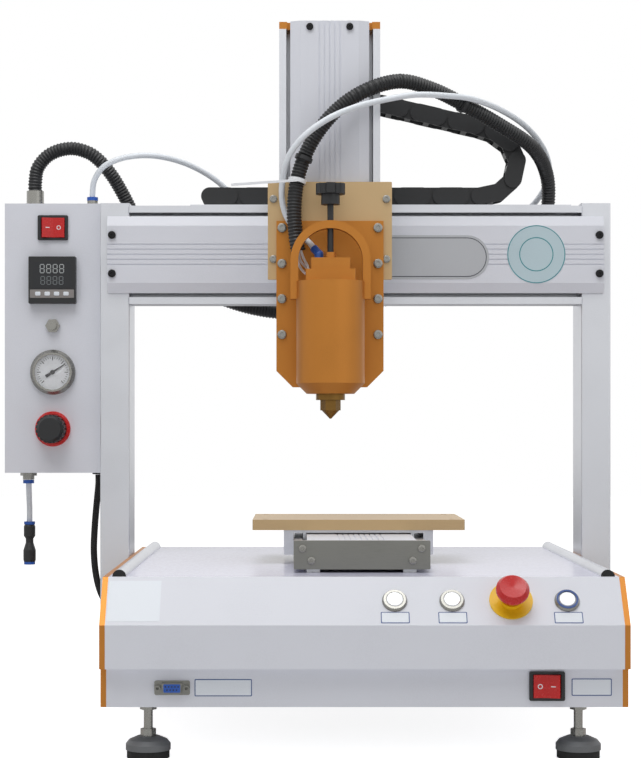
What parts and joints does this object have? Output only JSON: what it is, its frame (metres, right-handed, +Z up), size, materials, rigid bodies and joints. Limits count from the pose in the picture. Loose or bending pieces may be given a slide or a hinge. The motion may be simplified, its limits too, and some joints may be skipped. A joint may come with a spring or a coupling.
{
  "type": "desktop dispensing robot",
  "caption": "Desktop gantry robot with a sliding work platform, a heated hot-melt barrel on a vertical axis and a side control box.",
  "frame": {"origin": "under the middle of the machine's box, on the table plane", "axes": "+X to the operator's right, +Y away from the operator, +Z up"},
  "size_m": [0.619, 0.4596, 0.694],
  "materials": {
    "white_coat": "satin powder coat",
    "silver_anodised": "satin anodised",
    "gold_anodised": "gold anodised",
    "tan_anodised": "tan anodised",
    "grey_steel": "brushed",
    "bright_steel": "polished",
    "brass": "machined",
    "black_plastic": "matte",
    "black_rubber": "matte",
    "red_plastic": "gloss",
    "yellow_plastic": "gloss",
    "blue_plastic": "gloss",
    "white_plastic": "gloss",
    "circuit_board": "matte"
  },
  "bodies": {
    "frame": {"base_front_panel": "white_coat", "base_side_plates": "gold_anodised", "base_deck": "white_coat", "base_tray": "white_coat", "deck_trunking": "silver_anodised", "foot_pads": "black_rubber", "foot_cups": "grey_steel", "foot_studs": "grey_steel", "electronics": "circuit_board", "stepper_motors": "black_plastic", "axis_guides": "grey_steel", "y_module_body": "silver_anodised", "y_module_cover": "white_coat", "y_end_plates": "grey_steel", "gantry_posts": "silver_anodised", "x_beam_body": "silver_anodised", "x_beam_cover": "white_coat", "chain_tray": "silver_anodised", "cable_chain": "black_plastic", "control_box": "white_coat", "temperature_controller": "black_plastic", "pressure_gauge": "bright_steel", "regulator_body": "red_plastic", "box_fittings": "bright_steel", "rubber_grommets": "black_rubber", "switch_frames": "black_plastic", "serial_port": "grey_steel", "button_bezels": "bright_steel", "estop_collar": "yellow_plastic", "conduit": "black_plastic", "air_tube": "white_plastic", "box_cable": "black_rubber", "inlet_tube": "white_plastic", "inlet_union": "black_plastic"},
    "y_table": {"y_carriage": "silver_anodised", "y_platform": "tan_anodised"},
    "x_carriage": {"x_slider": "silver_anodised", "z_column_body": "silver_anodised", "z_column_cover": "white_coat", "z_end_blocks": "gold_anodised", "z_guides": "grey_steel", "z_motor": "black_plastic", "chain_bracket": "silver_anodised"},
    "z_carriage": {"z_slider": "silver_anodised", "z_plate": "tan_anodised", "heater_plate": "gold_anodised", "heater_barrel": "gold_anodised", "barrel_cap": "gold_anodised", "arch_clamp": "gold_anodised", "nozzle": "brass", "barrel_fitting": "blue_plastic"},
    "push_screw": {"star_knob": "black_plastic"},
    "needle": {"gauge_needle": "black_plastic"},
    "regulator": {"regulator_knob": "black_plastic"},
    "box_switch": {"box_rocker": "red_plastic"},
    "power_switch": {"power_rocker": "red_plastic"},
    "manual": {"manual_button": "white_plastic"},
    "reset": {"reset_button": "white_plastic"},
    "start": {"start_button": "white_plastic"},
    "estop": {"estop_cap": "red_plastic"}
  },
  "joints": [
    {"name": "y_slide", "type": "slide", "parent": "frame", "child": "y_table", "axis": [0, 1, 0], "range_m": [-0.095, 0.12]},
    {"name": "x_slide", "type": "slide", "parent": "frame", "child": "x_carriage", "axis": [1, 0, 0], "range_m": [-0.15, 0.2], "deforming": ["conduit", "air_tube", "cable_chain"]},
    {"name": "z_slide", "type": "slide", "parent": "x_carriage", "child": "z_carriage", "axis": [0, 0, 1], "range_m": [-0.08, 0.12], "deforming": ["conduit", "air_tube"]},
    {"name": "push_screw_turn", "type": "hinge", "parent": "z_carriage", "child": "push_screw", "pos_m": [0.0225, -0.03415, 0.51], "axis": [0, 0, 1], "continuous": true},
    {"name": "needle_turn", "type": "hinge", "parent": "frame", "child": "needle", "pos_m": [-0.26, 0.08085, 0.349], "axis": [0, 1, 0], "range_deg": [-192, 78]},
    {"name": "regulator_turn", "type": "hinge", "parent": "frame", "child": "regulator", "pos_m": [-0.26, 0.06985, 0.291], "axis": [0, -1, 0], "continuous": true},
    {"name": "box_rocker_tip", "type": "hinge", "parent": "frame", "child": "box_switch", "pos_m": [-0.26, 0.08485, 0.497], "axis": [0, 0, 1], "range_deg": [-16, 0]},
    {"name": "power_rocker_tip", "type": "hinge", "parent": "frame", "child": "power_switch", "pos_m": [0.2085, -0.20815, 0.0675], "axis": [0, 0, 1], "range_deg": [0, 16]},
    {"name": "manual_press", "type": "slide", "parent": "frame", "child": "manual", "axis": [0, 0.7867, -0.6174], "range_m": [0, 0.002], "stiffness_N_per_m": 300, "springref_m": -0.001},
    {"name": "reset_press", "type": "slide", "parent": "frame", "child": "reset", "axis": [0, 0.7867, -0.6174], "range_m": [0, 0.002], "stiffness_N_per_m": 300, "springref_m": -0.001},
    {"name": "start_press", "type": "slide", "parent": "frame", "child": "start", "axis": [0, 0.7867, -0.6174], "range_m": [0, 0.002], "stiffness_N_per_m": 300, "springref_m": -0.001},
    {"name": "estop_press", "type": "slide", "parent": "frame", "child": "estop", "axis": [0, 0.7867, -0.6174], "range_m": [0, 0.0038]}
  ]
}
